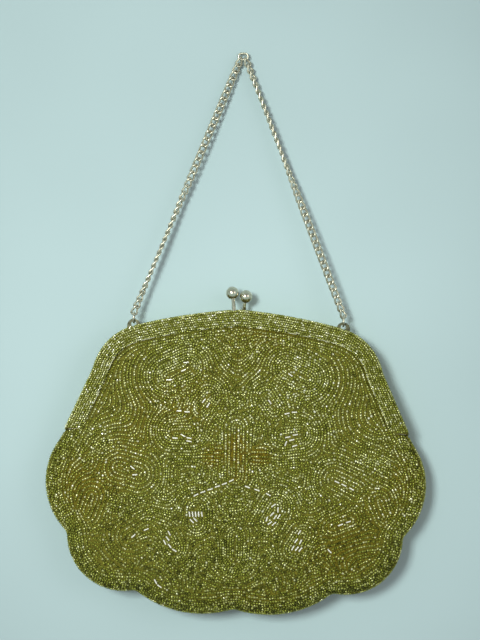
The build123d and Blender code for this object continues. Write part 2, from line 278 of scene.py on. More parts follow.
def edge_line():
    """The bag's outline as a closed line of evenly spaced (x, z) points, clockwise from the top."""
    o = bpy.context.scene.bag_outline
    wide, bottom = o.arm_half_width, TOP - o.middle_height
    stops = (
        ((0, TOP), 0),
        ((wide - o.top_end_in, TOP - o.top_end_drop), o.top_bulge),
        ((wide - o.shoulder_end_in, TOP - o.shoulder_end_drop), o.shoulder_bulge),
        ((wide, TOP - o.arm_end_drop), 0),
        ((wide - o.side_notch_in, bottom + o.side_notch_rise), o.side_lobe_bulge),
        ((wide - o.low_notch_in, bottom + o.low_notch_rise), o.low_lobe_bulge),
        ((0, bottom), o.bottom_lobe_bulge),
    )
    half = []
    for (start, _), (end, bulge) in zip(stops, stops[1:]):
        half += arc(start, end, bulge)
    left = np.array([(0, bottom)] + [(-x, z) for x, z in half[:0:-1]])
    line = even(np.vstack([np.array(half), left]), LINE_STEP)
    reach = max(1, round(o.notch_softness / LINE_STEP))
    soft = sum(np.roll(line, k, axis=0) for k in range(-reach, reach + 1)) / (2 * reach + 1)
    return even(soft, LINE_STEP)


def run_length(line):
    """How far along an open line each of its points lies."""
    return np.concatenate([[0], np.cumsum(np.linalg.norm(np.diff(line, axis=0), axis=1))])


def along_at(line, along, s):
    """The point a distance s along a line whose run lengths are known."""
    return np.array([np.interp(s, along, column) for column in line.T])


def even(line, step):
    """The same closed line with its points a step apart."""
    line = np.vstack([line, line[:1]])
    along = run_length(line)
    stops = np.linspace(0, along[-1], max(2, round(along[-1] / step)) + 1)
    return np.column_stack([np.interp(stops, along, column) for column in line.T])[:-1]


def inward(line):
    """Unit vectors that point into a closed clockwise line."""
    way = np.roll(line, -1, axis=0) - np.roll(line, 1, axis=0)
    way /= np.linalg.norm(way, axis=1)[:, None]
    return np.column_stack([way[:, 1], -way[:, 0]])


def nearest(points, line):
    """Distance from each point to a closed line's points."""
    out, batch = np.empty(len(points)), 4000
    for k in range(0, len(points), batch):
        part = points[k : k + batch]
        out[k : k + batch] = np.sqrt(((part[:, None] - line[None]) ** 2).sum(2).min(1))
    return out


def inset(line, by, step=LINE_STEP):
    """A closed line set in by a distance, which may differ from point to point."""
    by = np.broadcast_to(by, len(line))
    moved = line + inward(line) * by[:, None]
    slack = 0.06 * MM  # points that fold over themselves in a notch come nearer than this, and go
    return even(moved[nearest(moved, line) > by - slack], step)


def inside(points, line):
    """Whether each point lies in a closed line."""
    x, z = points[:, 0], points[:, 1]
    hit = np.zeros(len(points), bool)
    for (x0, z0), (x1, z1) in zip(line, np.roll(line, -1, axis=0)):
        if z0 != z1:
            crossing = (z0 > z) != (z1 > z)
            hit ^= crossing & (x < (x1 - x0) * (z - z0) / (z1 - z0) + x0)
    return hit


def eased(t):
    """Smooth step from 0 to 1."""
    t = np.clip(t, 0, 1)
    return t * t * (3 - 2 * t)


def rise(reached, start, over):
    """Smooth step from 0 where a length is start to 1 where it is over more, in millimetres."""
    return eased((reached - start * MM) / (over * MM))


def tucked(z):
    """Share of a panel's edge tucked under the frame at a height: 1 above the hinge, 0 below."""
    return eased((z - (HINGE + 3.0 * MM)) / (2.8 * MM))


def dome_depth(x, z):
    """Distance from the middle plane to a panel's gentle dome."""
    c = bpy.context.scene.bag_cloth
    r2 = x ** 2 + (z - (TOP - c.dome_drop)) ** 2
    return c.half_depth - c.dome_radius + np.sqrt(c.dome_radius ** 2 - r2)


def panel_depth(x, z, d):
    """Distance from the middle plane to a panel's face, d being the distance in from the edge."""
    c = bpy.context.scene.bag_cloth
    dome = dome_depth(x, z)
    # Up in the frame the panel is at least as deep as the band's face.
    full = np.logaddexp(dome / MM, (c.band_face + 0.1 * MM) / MM) * MM
    dome = dome + (full - dome) * eased((z - (HINGE - 30 * MM)) / (40 * MM))
    sewn = c.edge_half + np.maximum(d - 1.1 * MM, 0) * math.tan(c.edge_slope)
    under = 5.0 * MM + np.maximum(d - 7.4 * MM, 0) * 2
    edge = sewn + (under - sewn) * tucked(z)
    soft = 1.4 * MM
    return -soft * np.log(np.exp(-edge / soft) + np.exp(-dome / soft)) + 0.15 * MM


# --- mesh helpers ---
def deselect():
    """Leaves object mode with nothing selected."""
    if bpy.context.object and bpy.context.object.mode != "OBJECT":
        bpy.ops.object.mode_set(mode="OBJECT")
    bpy.ops.object.select_all(action="DESELECT")


def only(obj):
    """Makes an object the one that is selected and active."""
    deselect()
    obj.select_set(True)
    bpy.context.view_layer.objects.active = obj


@contextmanager
def editing(obj, select="SELECT"):
    """Edit mode, with all or nothing selected, or the selection as it is."""
    only(obj)
    bpy.ops.object.mode_set(mode="EDIT")
    if select:
        bpy.ops.mesh.select_all(action=select)
    yield
    deselect()


def settled(name):
    """The object just made, named, with its place, turn and size put into its mesh."""
    obj = bpy.context.object
    obj.name = name
    only(obj)
    bpy.ops.object.transform_apply(location=True, rotation=True, scale=True)
    deselect()
    return obj


def modified(obj, kind, **settings):
    """Adds a modifier to an object, sets it and applies it."""
    only(obj)
    bpy.ops.object.modifier_add(type=kind)
    modifier = obj.modifiers[-1]
    for key, value in settings.items():
        setattr(modifier, key, value)
    bpy.ops.object.modifier_apply(modifier=modifier.name)
    deselect()
    return obj


def thickened(obj, wall):
    """Gives a sheet its wall, on the inside, with a closed rim."""
    return modified(obj, "SOLIDIFY", thickness=wall, offset=-1)


def smoothed(mesh):
    """Shades all of a mesh's faces smoothly."""
    mesh.polygons.foreach_set("use_smooth", [True] * len(mesh.polygons))
    return mesh


def linked(name, mesh):
    """An object of a mesh, in the scene."""
    obj = bpy.data.objects.new(name, mesh)
    bpy.context.scene.collection.objects.link(obj)
    return obj


def mesh_object(name, verts, faces):
    """An object of the given vertices and faces, with its faces pointed outwards."""
    mesh = bpy.data.meshes.new(name)
    mesh.from_pydata([tuple(v) for v in verts], [], faces)
    mesh.update()
    return outwards(linked(name, smoothed(mesh)))


def outwards(obj):
    """Points an object's faces outwards."""
    with editing(obj):
        bpy.ops.mesh.remove_doubles(threshold=1e-6)
        bpy.ops.mesh.normals_make_consistent(inside=False)
    return obj


def faced(obj, side):
    """Points a sheet's faces to the front (1) or the back (-1)."""
    if side * sum(p.normal.y for p in obj.data.polygons) > 0:
        obj.data.flip_normals()
    return obj


def corners(obj):
    """An object's vertices as an array."""
    return np.array([v.co[:] for v in obj.data.vertices])


def upright_grid(name, middle, size, squares):
    """A grid in the XZ plane, of a middle, a size and a number of squares each way."""
    deselect()
    bpy.ops.mesh.primitive_grid_add(
        x_subdivisions=squares[0], y_subdivisions=squares[1], size=1,
        location=(middle[0], 0, middle[1]), rotation=(math.pi / 2, 0, 0),
    )
    bpy.context.object.scale = (size[0], size[1], 1)
    return settled(name)


def swept(name, path, ways, profile):
    """A tube of a closed profile along an open path in the XZ plane. Profile points are (in, out):
    in along the path's inward way, out towards -Y."""
    m, n = len(profile), len(path)
    verts = []
    for (x, z), (ix, iz) in zip(path, ways):
        verts += [(x + ix * a, -b, z + iz * a) for a, b in profile]
    faces = []
    for i in range(0, (n - 1) * m, m):
        faces += [(i + q, i + (q + 1) % m, i + m + (q + 1) % m, i + m + q) for q in range(m)]
    faces += [tuple(range(m))[::-1], tuple(range((n - 1) * m, n * m))]
    return mesh_object(name, verts, faces)


def use_material(obj, material):
    """Gives an object one material."""
    obj.data.materials.clear()
    obj.data.materials.append(material)
    return obj


def mirrored(obj, name):
    """A copy of a front piece, turned to face the back."""
    mesh = obj.data.copy()
    mesh.name = name
    mesh.transform(Matrix.Scale(-1, 4, (0, 1, 0)))
    mesh.flip_normals()
    return linked(name, mesh)


# --- one bead, one tube, one stitch ---
def little_shape(name, sides, length, radius, ends, middle, smooth):
    """A small turned shape along X: a cylinder, cut round its middle, with drawn-in ends."""
    deselect()
    bpy.ops.mesh.primitive_cylinder_add(
        vertices=sides, radius=radius, depth=length, end_fill_type="NGON",
        rotation=(0, math.pi / 2, 0),
    )
    obj = settled(name)
    if middle:
        with editing(obj):
            bpy.ops.mesh.bisect(plane_co=(0, 0, 0), plane_no=(1, 0, 0))
    for v in obj.data.vertices:
        if abs(v.co.x) > length * 0.4:
            v.co.y *= ends
            v.co.z *= ends
    shape = corners(obj), [tuple(p.vertices) for p in obj.data.polygons], smooth
    bpy.data.objects.remove(obj)
    return shape


def seed_bead():
    """One seed bead of the size that the scene says."""
    b = bpy.context.scene.bag_beads
    return little_shape("bead", 8, b.bead_length, b.bead_radius, 0.66, True, True)


def point_values(mesh, name, values):
    """Stores a value for each of a mesh's vertices, for the materials to read."""
    mesh.attributes.new(name, "FLOAT", "POINT").data.foreach_set("value", values)


def strewn(name, shape, material, places, tones, warmth=None):
    """One mesh of a small shape copied to many places. A place is (centre, way, up, scale)."""
    base, faces, smooth = shape
    count, size = len(places), len(base)
    verts = np.empty((count, size, 3))
    for k, (centre, way, up, scale) in enumerate(places):
        side = unit(np.cross(up, way))
        verts[k] = base * scale @ np.array([way, side, np.cross(way, side)]) + centre
    corner = [q for f in faces for q in f]
    starts = np.cumsum([0] + [len(f) for f in faces[:-1]])
    copies = np.arange(count)
    mesh = bpy.data.meshes.new(name)
    mesh.vertices.add(count * size)
    mesh.vertices.foreach_set("co", verts.reshape(-1))
    mesh.loops.add(count * len(corner))
    loops = (copies[:, None] * size + np.array(corner)[None]).reshape(-1)
    mesh.loops.foreach_set("vertex_index", loops)
    mesh.polygons.add(count * len(faces))
    begin = (copies[:, None] * len(corner) + starts[None]).reshape(-1)
    mesh.polygons.foreach_set("loop_start", begin)
    mesh.polygons.foreach_set("use_smooth", [smooth] * (count * len(faces)))
    mesh.update(calc_edges=True)
    point_values(mesh, "tone", np.repeat(np.asarray(tones, np.float32), size))
    if warmth is not None:
        point_values(mesh, "warm", np.repeat(np.asarray(warmth, np.float32), size))
    # Each copy has a square of its own on the map, its length and girth along the square's sides.
    across = math.ceil(math.sqrt(count))
    girth = np.arctan2(base[:, 2], base[:, 1]) / (2 * math.pi) + 0.5
    share = (base[:, 0] - base[:, 0].min()) / (base[:, 0].max() - base[:, 0].min())
    margin = 0.12
    local = margin + (1 - 2 * margin) * np.column_stack([share, girth])[corner]
    cell = np.column_stack([copies % across, copies // across])
    layer = mesh.uv_layers.new(name="OFBake")
    layer.data.foreach_set("uv", ((cell[:, None] + local[None]) / across).reshape(-1))
    return use_material(linked(name, mesh), material)


# --- bead rows: evenly spaced lines through a field of directions ---
class RowField:
    """Directions, spacing and bounds of the bead rows over a panel, on a grid of 1 mm squares."""

    def __init__(self, line):
        b, c = bpy.context.scene.bag_beads, bpy.context.scene.bag_cloth
        self.cell = 1 * MM
        low, high = line.min(0) - 3 * MM, line.max(0) + 3 * MM
        self.low = low
        self.nx, self.nz = (int(s) for s in np.ceil((high - low) / self.cell))
        x = low[0] + np.arange(self.nx) * self.cell
        z = low[1] + np.arange(self.nz) * self.cell
        gx, gz = (g.T for g in np.meshgrid(x, z))
        flat = np.column_stack([gx.reshape(-1), gz.reshape(-1)])
        d = nearest(flat, line)
        d[~inside(flat, line)] *= -1
        self.edge = d = d.reshape(self.nx, self.nz)
        self.set_ways(gx, gz, b.border_width, c.band_width)

        def near(x, x0, z0, wide, tall):
            """Distance from a place, counted in a spot's half width and half height."""
            return np.hypot((x - x0 * MM) / (wide * MM), (gz - TOP - z0 * MM) / (tall * MM))

        def bloom(*spot):
            """1 in the middle of a spot and 0 outside it."""
            return eased(1.6 - near(*spot) * 1.25)

        # The flower in the middle has upright rows, with level rows in the petals at its sides.
        stem = bloom(gx, 0, -79, 7, 11.5)
        petal = bloom(np.abs(gx), 12.5, -83, 8, 7) * (1 - stem)
        root = bloom(gx, 3, -92, 8, 6)
        self.cos2 = self.cos2 * (1 - stem) * (1 - petal) + stem - petal
        self.sin2 = self.sin2 * (1 - stem) * (1 - petal)
        self.cos2, self.sin2 = -self.cos2, -self.sin2  # a row runs across the slope of the field
        # Rows stand a little apart; along the lower edge and in a few spots beads are strewn.
        self.loose = (1 - rise(d, 7, 8)) * (1 - rise(gz - HINGE, 0, 8))
        for spot in LOOSE_SPOTS:
            self.loose = np.maximum(self.loose, 1 - eased((near(gx, *spot) - 0.6) / 0.8))
        sides = rise(np.abs(gx), 44, 16) * (1 - self.loose)
        sides *= np.where(gx < 0, 0.62, 0.48)
        slope = panel_depth(gx, gz, np.maximum(d, 0))
        sx, sz = np.gradient(slope, self.cell)
        apart = 1.0 + np.maximum(sides, 0.42 * (stem + petal))
        self.gap = b.row_pitch * apart / np.sqrt(1 + sx ** 2 + sz ** 2).clip(1, 1.5)
        covered = gz > HINGE + END_SLOPE * slope - 0.2 * MM
        self.room = d - np.where(covered, c.band_width + 0.2 * MM, 0.9 * MM)
        # The ground is warmer in the flower and where rows stand apart; the slow patches, warmer
        # and darker, are painted shade of the cloth's undulations.
        flower = np.maximum(np.maximum(stem, petal), 0.7 * root)
        slow_shade = np.sin(gx * 61 + 0.8) * np.cos(gz * 73 - 1.1) + np.sin(gx * 37 - gz * 44)
        self.warm = np.maximum(flower, 0.3 * np.clip(slow_shade, 0, 2) + 0.3 * sides)

    def set_ways(self, gx, gz, border, band_width):
        """The slope's doubled angle: round the cores, and along the edge near it."""
        far = []
        for cx, cz, half, angle in CORES:
            c, s = math.cos(math.radians(angle)), math.sin(math.radians(angle))
            dx, dz = gx - cx * MM, gz - TOP - cz * MM
            u = (dx * c + dz * s).clip(-half * MM, half * MM)
            far.append(np.hypot(dx - u * c, dz - u * s))
        far = np.array(far)
        soft = 3.5 * MM
        self.motif = far.min(0)
        motif = self.motif - soft * np.log(np.exp(-(far - self.motif) / soft).sum(0))
        reach = border + (band_width + 3 * MM - border) * rise(gz - HINGE, 0, 12)
        share = 1 - rise(self.edge - reach, 0, 6)
        self.cos2 = self.sin2 = 0
        for part, height in ((1 - share, motif), (share, self.edge)):
            px, pz = np.gradient(height, self.cell)
            steep = px ** 2 + pz ** 2 + 1e-9
            self.cos2 = self.cos2 + part * (px ** 2 - pz ** 2) / steep
            self.sin2 = self.sin2 + part * 2 * px * pz / steep

    def read(self, grid, x, z):
        """A grid's value at a point."""
        u, v = (x - self.low[0]) / self.cell, (z - self.low[1]) / self.cell
        i, j = int(u), int(v)
        if not (0 <= i < self.nx - 1 and 0 <= j < self.nz - 1):
            return -1.0
        u, v = u - i, v - j
        return (
            grid[i, j] * (1 - u) * (1 - v) + grid[i + 1, j] * u * (1 - v)
            + grid[i, j + 1] * (1 - u) * v + grid[i + 1, j + 1] * u * v
        )

    def way(self, x, z, before):
        """The rows' direction at a point, turned to agree with the way before it."""
        a = math.atan2(self.read(self.sin2, x, z), self.read(self.cos2, x, z)) / 2
        w = (math.cos(a), math.sin(a))
        return w if w[0] * before[0] + w[1] * before[1] >= 0 else (-w[0], -w[1])


class Crowd:
    """Points in squares, to find whether one lies near others."""

    def __init__(self, size):
        self.size, self.squares = size, {}

    def key(self, x, z):
        return int(math.floor(x / self.size)), int(math.floor(z / self.size))

    def add(self, x, z, row=0, number=0):
        self.squares.setdefault(self.key(x, z), []).append((x, z, row, number))

    def crowded(self, x, z, reach, row=-1, number=0):
        """Whether a point lies within reach of another, leaving out its own row's last few."""
        (i, j), last_few = self.key(x, z), 6
        for a in (i - 1, i, i + 1):
            for b in (j - 1, j, j + 1):
                for px, pz, r, n in self.squares.get((a, b), ()):
                    if r == row and abs(n - number) < last_few:
                        continue
                    if (px - x) ** 2 + (pz - z) ** 2 < reach ** 2:
                        return True
        return False


def half_row(field, taken, x, z, number, sense):
    """Points of a row from its seed one way (1) or the other (-1), until it would crowd another."""
    step, longest, sharpest, closest = 0.7 * MM, 700, 0.7, 0.72
    way = field.way(x, z, (1, 0.001))
    way = (way[0] * sense, way[1] * sense)
    line = []
    for k in range(1, longest):
        mid = field.way(x + way[0] * step / 2, z + way[1] * step / 2, way)
        x, z = x + mid[0] * step, z + mid[1] * step
        turned = field.way(x, z, mid)
        if field.read(field.room, x, z) <= 0 or turned[0] * way[0] + turned[1] * way[1] < sharpest:
            break
        if taken.crowded(x, z, closest * field.read(field.gap, x, z), number, sense * k):
            break
        line.append((x, z))
        taken.add(x, z, number, sense * k)
        way = turned
    return line


def sewn_rows(field, picks):
    """Lines of (x, z) points: bead rows that keep an even distance and follow the field."""
    taken = Crowd(2.6 * MM)
    rows, queue, off = [], [], 1.1
    for cx, cz, _, angle in CORES:
        a = math.radians(angle + 90)
        for out in (-off, off):
            queue.append((cx * MM + out * MM * math.cos(a), TOP + (cz + out * math.sin(a)) * MM))
    queue += [(x * MM, TOP - 80 * MM) for x in (0, 2, -2, 4, -4)]
    spare = [
        (field.low[0] + i * field.cell, field.low[1] + j * field.cell)
        for i in range(0, field.nx, 4)
        for j in range(0, field.nz, 4)
    ]
    picks.shuffle(spare)
    at = 0
    while at < len(queue) or spare:
        if at < len(queue):
            x, z = queue[at]
            at += 1
        else:
            x, z = spare.pop()
        if field.read(field.room, x, z) <= 0:
            continue
        if taken.crowded(x, z, 0.93 * field.read(field.gap, x, z)):
            continue
        ahead, behind = (half_row(field, taken, x, z, len(rows), sense) for sense in (1, -1))
        line = behind[::-1] + [(x, z)] + ahead
        taken.add(x, z, len(rows), 0)
        rows.append(line)
        for px, pz in line[::3]:
            w = field.way(px, pz, (1, 0))
            g = field.read(field.gap, px, pz)
            for side in (1.0, -1.0):
                queue.append((px - w[1] * g * side, pz + w[0] * g * side))
    return rows


def on_surface(tree, x, z):
    """Where a straight line from the front meets a surface at (x, z), and the surface's normal."""
    ahead, reach = -80 * MM, 120 * MM
    hit, normal, _, _ = tree.ray_cast(Vector((x, ahead, z)), Vector((0, 1, 0)), reach)
    if hit is None:
        return None
    return np.array(hit), np.array(-normal if normal.y > 0 else normal)


def surface_tree(obj):
    """A search tree over an object's mesh as it stands."""
    mesh = obj.data
    mesh.calc_loop_triangles()
    return BVHTree.FromPolygons(
        [v.co.copy() for v in mesh.vertices], [tuple(t.vertices) for t in mesh.loop_triangles]
    )


def bead_tone(picks, lift=0.0):
    """A bead's tone: most are olive; many are lighter with a painted glint, a few are dark with
    painted shade and a few nearly white with a painted glint.
    """
    draw = picks.random()
    for share, least, most in TONES:
        if draw < share:
            tone = picks.uniform(least, most)
            break
    else:
        tone = picks.gauss(OLIVE_TONE, OLIVE_SPREAD)
    return min(1, max(0, tone + lift))


def beads_along(line, tree, field, pitch, rng):
    """Places of beads along a line of (x, z) points, on a surface."""
    points = [p for p in (on_surface(tree, x, z) for x, z in line) if p is not None]
    if len(points) < 2:
        return []
    centre, normal = (np.array(column) for column in zip(*points))
    along = run_length(centre)
    count = int(along[-1] / pitch)
    start = (along[-1] - (count - 1) * pitch) / 2 if count > 1 else along[-1] / 2
    places = []
    for k in range(count):
        s = start + k * pitch + rng.uniform(-0.07, 0.07) * pitch
        c, up = along_at(centre, along, s), unit(along_at(normal, along, s))
        way = along_at(centre, along, s + 0.4 * pitch) - along_at(centre, along, s - 0.4 * pitch)
        if np.linalg.norm(way) < 1e-7:
            continue
        way = unit(way)
        untidy = max(0.0, field.read(field.loose, c[0], c[2]))
        side = np.cross(up, way)
        way = way + side * rng.normal(0, 0.07 + 0.6 * untidy)
        way = way + up * rng.normal(0, 0.06 + 0.1 * untidy)
        c = c + side * rng.normal(0, 0.04 + 0.14 * untidy) * pitch
        places.append((c, unit(way), up, rng.uniform(0.88, 1.08)))
    return places


# --- node materials ---
def dim(tint, share):
    """A colour with a share of its light."""
    return tuple(x * share for x in tint)


class Nodes:
    """A node tree, and short ways to add to it."""

    def __init__(self, tree):
        self.tree = tree

    def put(self, target, value):
        """Links an output to an input, or sets the input to a number, vector or colour."""
        if isinstance(value, bpy.types.NodeSocket):
            self.tree.links.new(value, target)
        elif isinstance(value, (int, float)):
            target.default_value = value
        else:
            target.default_value = (*value, 1) if target.type == "RGBA" else value

    def add(self, kind, out=None, **values):
        """A new node, or one of its outputs. Values named in_ go to inputs, by name or number."""
        node = self.tree.nodes.new(kind)
        for key, value in values.items():
            if key.startswith("in_"):
                name = int(key[3:]) if key[3:].isdigit() else key[3:].replace("_", " ")
                self.put(node.inputs[name], value)
            else:
                setattr(node, key, value)
        return node if out is None else node.outputs[out]

    def ramp(self, source, stops):
        node = self.add("ShaderNodeValToRGB", in_Fac=source)
        elements = node.color_ramp.elements
        while len(elements) < len(stops):
            elements.new(0.5)
        for element, (at, value) in zip(elements, stops):
            element.position, element.color = at, (*value, 1)
        return node.outputs["Color"]

    def math(self, operation, a, b=0.5):
        return self.add("ShaderNodeMath", 0, operation=operation, in_0=a, in_1=b)

    def mix(self, factor, a, b, blend="MIX"):
        kind = {"data_type": "RGBA", "blend_type": blend}
        return self.add("ShaderNodeMix", 2, **kind, in_0=factor, in_6=a, in_7=b)

    def coords(self, kind="Object"):
        return self.add("ShaderNodeTexCoord", kind)

    def noise(self, vector, scale, detail, rough):
        look = {"in_Scale": scale, "in_Detail": detail, "in_Roughness": rough}
        return self.add("ShaderNodeTexNoise", "Fac", in_Vector=vector, **look)

    def attribute(self, name):
        return self.add("ShaderNodeAttribute", "Fac", attribute_name=name)


class Finish(Nodes):
    """A material's nodes."""

    def __init__(self, name):
        self.material = bpy.data.materials.new(name)
        self.material.use_nodes = True
        super().__init__(self.material.node_tree)
        self.shader = self.tree.nodes["Principled BSDF"]

    def shade(self, **inputs):
        """Sets or links the shader's inputs, and returns the material."""
        for name, value in inputs.items():
            self.put(self.shader.inputs[name.replace("_", " ")], value)
        return self.material

    def bump(self, height, strength, distance):
        how = {"in_Strength": strength, "in_Distance": distance}
        return self.add("ShaderNodeBump", 0, in_Height=height, **how)


def new_group(name, inputs, outputs):
    """A node group with named sockets, its input node and its output node."""
    n = Nodes(bpy.data.node_groups.new(name, "ShaderNodeTree"))
    add = n.tree.interface.new_socket
    for key, kind, value in inputs:
        socket = add(name=key, in_out="INPUT", socket_type="NodeSocket" + kind)
        if value is not None:
            socket.default_value = value
    for key, kind in outputs:
        add(name=key, in_out="OUTPUT", socket_type="NodeSocket" + kind)
    return n, n.add("NodeGroupInput").outputs, n.add("NodeGroupOutput").inputs


def weave_group():
    """Plain weave: height of crossing threads, and a slow unevenness, from object coordinates."""
    n, put, out = new_group(
        "Bag plain weave", [("Threads", "Float", 2600.0)], [("Height", "Float"), ("Slub", "Float")]
    )
    where = n.coords()
    parts = n.add("ShaderNodeSeparateXYZ", in_0=where).outputs
    waves = [n.math("SINE", n.math("MULTIPLY", parts[axis], put["Threads"])) for axis in "XZ"]
    n.put(out["Height"], n.math("MAXIMUM", *(n.math("ABSOLUTE", wave) for wave in waves)))
    n.put(out["Slub"], n.noise(where, 900.0, 4.0, 0.55))
    return n.tree


def wear_group():
    """Handled metal: rubbed high spots, fine scratches and tarnish, from object coordinates."""
    n, put, out = new_group(
        "Bag handled metal",
        [("Bright", "Color", None), ("Tarnish", "Color", None), ("Amount", "Float", 0.4)],
        [("Colour", "Color"), ("Roughness", "Float"), ("Height", "Float")],
    )
    where = n.coords()
    spots, fine = n.noise(where, 260.0, 5.0, 0.6), n.noise(where, 2400.0, 3.0, 0.7)
    patch = n.ramp(spots, [(0.38, (0, 0, 0)), (0.66, (1, 1, 1))])
    share = n.math("MULTIPLY", patch, put["Amount"])
    n.put(out["Colour"], n.mix(share, put["Bright"], put["Tarnish"]))
    dull = n.math("MULTIPLY", share, 0.35)
    n.put(out["Roughness"], n.math("ADD", dull, n.math("MULTIPLY", fine, 0.16)))
    n.put(out["Height"], n.math("ADD", n.math("MULTIPLY", fine, 0.5), spots))
    return n.tree


def glass_beads(name, stops, rough, metal):
    """Silver-lined glass: each bead has its own tone, from dark to pale; the olive glass's tones
    paint shade and glints into its colour.
    """
    n = Finish(name)
    tone = n.attribute("tone")
    plain = n.ramp(tone, stops)
    amber = n.mix(1.0, plain, (1.02, 0.86, 0.48), "MULTIPLY")
    return n.shade(
        Base_Color=n.mix(n.attribute("warm"), plain, amber),
        Roughness=n.math("ADD", n.math("MULTIPLY", tone, -0.12), rough),
        Metallic=metal, Specular_IOR_Level=0.35, Specular_Tint=(0.95, 0.95, 0.62),
    )


def woven(name, tint, shade, threads, weave, sheen, rough, shine=0.5, spot=None):
    """Cloth of one colour, with threads, slubs and a soft sheen, and perhaps warm spots and specks;
    the specks and some warm patches are painted shade.
    """
    n = Finish(name)
    cloth = n.add("ShaderNodeGroup", node_tree=weave, in_Threads=threads).outputs
    height, slub = cloth["Height"], cloth["Slub"]
    uneven = n.ramp(slub, [(0.3, shade), (0.72, tint)])
    cloth = n.mix(n.math("MULTIPLY", height, 0.45), uneven, tuple(min(1, c * 1.35) for c in tint))
    if spot:
        # Painted shade between the beads: the ground is darkened in small specks, and lightened in
        # others.
        greys = [(at, (light,) * 3) for at, light in ((0.36, 0.34), (0.5, 0.95), (0.64, 1.35))]
        shade_speckle = n.ramp(n.noise(n.coords(), 950.0, 2.0, 0.7), greys)
        cloth = n.mix(1.0, n.mix(n.attribute("warm"), cloth, spot), shade_speckle, "MULTIPLY")
    return n.shade(
        Base_Color=cloth, Specular_IOR_Level=shine, Sheen_Weight=sheen, Sheen_Roughness=0.4,
        Roughness=n.math("ADD", n.math("MULTIPLY", slub, 0.2), rough),
        Normal=n.bump(height, 0.5, 0.0002),
    )


def metal(name, wear, bright, dark, amount, rough):
    """Gilt metal with fine scratches, and tarnish in patches with a share of its light."""
    n = Finish(name)
    worn = n.add(
        "ShaderNodeGroup", node_tree=wear,
        in_Bright=bright, in_Tarnish=dim(bright, dark), in_Amount=amount,
    ).outputs
    return n.shade(
        Base_Color=worn["Colour"], Metallic=1.0, Roughness=n.math("ADD", worn["Roughness"], rough),
        Normal=n.bump(worn["Height"], 0.12, 0.0001),
    )


def finishes():
    """All finishes, made once."""
    if "Bag olive glass" in bpy.data.materials:
        return bpy.data.materials
    c = bpy.context.scene.bag_colours
    weave, wear, amber = weave_group(), wear_group(), tuple(c.amber)
    # The olive glass runs from painted shade at its dark end to painted glints at its pale end.
    olive = [(0.0, c.glass_painted_shade), (0.38, c.glass_olive), (0.72, c.glass_gold), (1.0, c.glass_painted_glint)]
    glass_beads("Bag olive glass", olive, 0.34, 0.55)
    glass_beads("Bag tube glass", [(0.0, dim(c.tube, 0.8)), (1.0, c.tube)], 0.28, 0.15)
    woven("Bag ground cloth", c.cloth, dim(c.cloth, 0.7), 5200.0, weave, 0.0, 0.6, 0.12, amber)
    woven("Bag sewing thread", c.thread, dim(c.thread, 0.6), 9000.0, weave, 0.3, 0.5)
    woven("Bag lining satin", c.satin, dim(c.satin, 0.82), 7800.0, weave, 0.5, 0.3)
    metal("Bag bright gilt", wear, c.gilt, 0.6, 0.2, 0.12)
    metal("Bag chain gilt", wear, c.gilt, 0.5, 0.35, 0.27)
    metal("Bag frame gilt", wear, c.frame_gilt, 0.5, 0.5, 0.34)
    metal("Bag old gilt", wear, c.old_gilt, 0.4, 0.7, 0.3)
    return bpy.data.materials


# --- the panels ---
def stuffed(obj, rim):
    """Puffs a cloth mesh out by a cloth simulation with pressure, its sewn rim held."""
    scene, last = bpy.context.scene, 20
    before = corners(obj)
    obj.vertex_groups.new(name="sewn").add([int(k) for k in rim], 1.0, "REPLACE")
    only(obj)
    bpy.ops.object.modifier_add(type="CLOTH")
    cloth = obj.modifiers[-1]
    s = cloth.settings
    s.quality = 6
    s.mass = 0.25
    s.tension_stiffness = s.compression_stiffness = 12
    s.bending_stiffness = 1.5
    s.vertex_group_mass = "sewn"
    s.use_pressure = True
    s.uniform_pressure_force = 4.0
    s.effector_weights.gravity = 0
    cloth.point_cache.frame_start, cloth.point_cache.frame_end = 1, last
    for k in range(1, last + 1):
        scene.frame_set(k)
    bpy.ops.object.modifier_apply(modifier=cloth.name)
    scene.frame_set(1)
    moved = corners(obj) - before
    moved *= min(1, scene.bag_cloth.puff / np.linalg.norm(moved, axis=1).max())
    obj.data.vertices.foreach_set("co", (before + moved).reshape(-1))
    obj.vertex_groups.clear()
    deselect()


